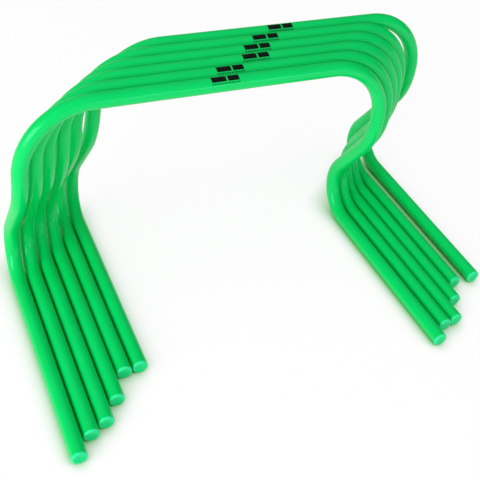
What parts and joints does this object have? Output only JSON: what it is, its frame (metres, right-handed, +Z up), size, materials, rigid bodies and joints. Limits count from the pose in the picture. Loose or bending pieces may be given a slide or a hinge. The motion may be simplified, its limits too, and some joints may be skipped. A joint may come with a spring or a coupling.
{
  "type": "nested speed hurdle set",
  "caption": "Nest of low training hurdles: glossy green plastic tubes bent into long feet, springy hairpins, uprights and a crossbar, plugged at the feet; the hurdles slide apart.",
  "frame": {"origin": "middle of the nest's footprint, on the floor that the feet lie on", "axes": "+Z up; +X along the crossbars, the way the nest steps; the feet point to -Y and the nest grows to +Y"},
  "size_m": [0.658, 0.4418, 0.3047],
  "materials": {
    "pvc_tube": "glossy extruded PVC, green",
    "end_plug": "moulded plastic, green, satin"
  },
  "bodies": {
    "hurdle_1": {"hurdle_1_tube": "pvc_tube", "hurdle_1_left_plug": "end_plug", "hurdle_1_right_plug": "end_plug"},
    "hurdle_2": {"hurdle_2_tube": "pvc_tube", "hurdle_2_left_plug": "end_plug", "hurdle_2_right_plug": "end_plug"},
    "hurdle_3": {"hurdle_3_tube": "pvc_tube", "hurdle_3_left_plug": "end_plug", "hurdle_3_right_plug": "end_plug"},
    "hurdle_4": {"hurdle_4_tube": "pvc_tube", "hurdle_4_left_plug": "end_plug", "hurdle_4_right_plug": "end_plug"},
    "hurdle_5": {"hurdle_5_tube": "pvc_tube", "hurdle_5_left_plug": "end_plug", "hurdle_5_right_plug": "end_plug"},
    "hurdle_6": {"hurdle_6_tube": "pvc_tube", "hurdle_6_left_plug": "end_plug", "hurdle_6_right_plug": "end_plug"}
  },
  "joints": [
    {"name": "hurdle_2_slide", "type": "slide", "parent": "hurdle_1", "child": "hurdle_2", "axis": [0.0262, 0.9997, 0], "range_m": [0, 0.33]},
    {"name": "hurdle_3_slide", "type": "slide", "parent": "hurdle_2", "child": "hurdle_3", "axis": [0.0262, 0.9997, 0], "range_m": [0, 0.33]},
    {"name": "hurdle_4_slide", "type": "slide", "parent": "hurdle_3", "child": "hurdle_4", "axis": [0.0262, 0.9997, 0], "range_m": [0, 0.33]},
    {"name": "hurdle_5_slide", "type": "slide", "parent": "hurdle_4", "child": "hurdle_5", "axis": [0.0262, 0.9997, 0], "range_m": [0, 0.33]},
    {"name": "hurdle_6_slide", "type": "slide", "parent": "hurdle_5", "child": "hurdle_6", "axis": [0.0262, 0.9997, 0], "range_m": [0, 0.33]}
  ]
}
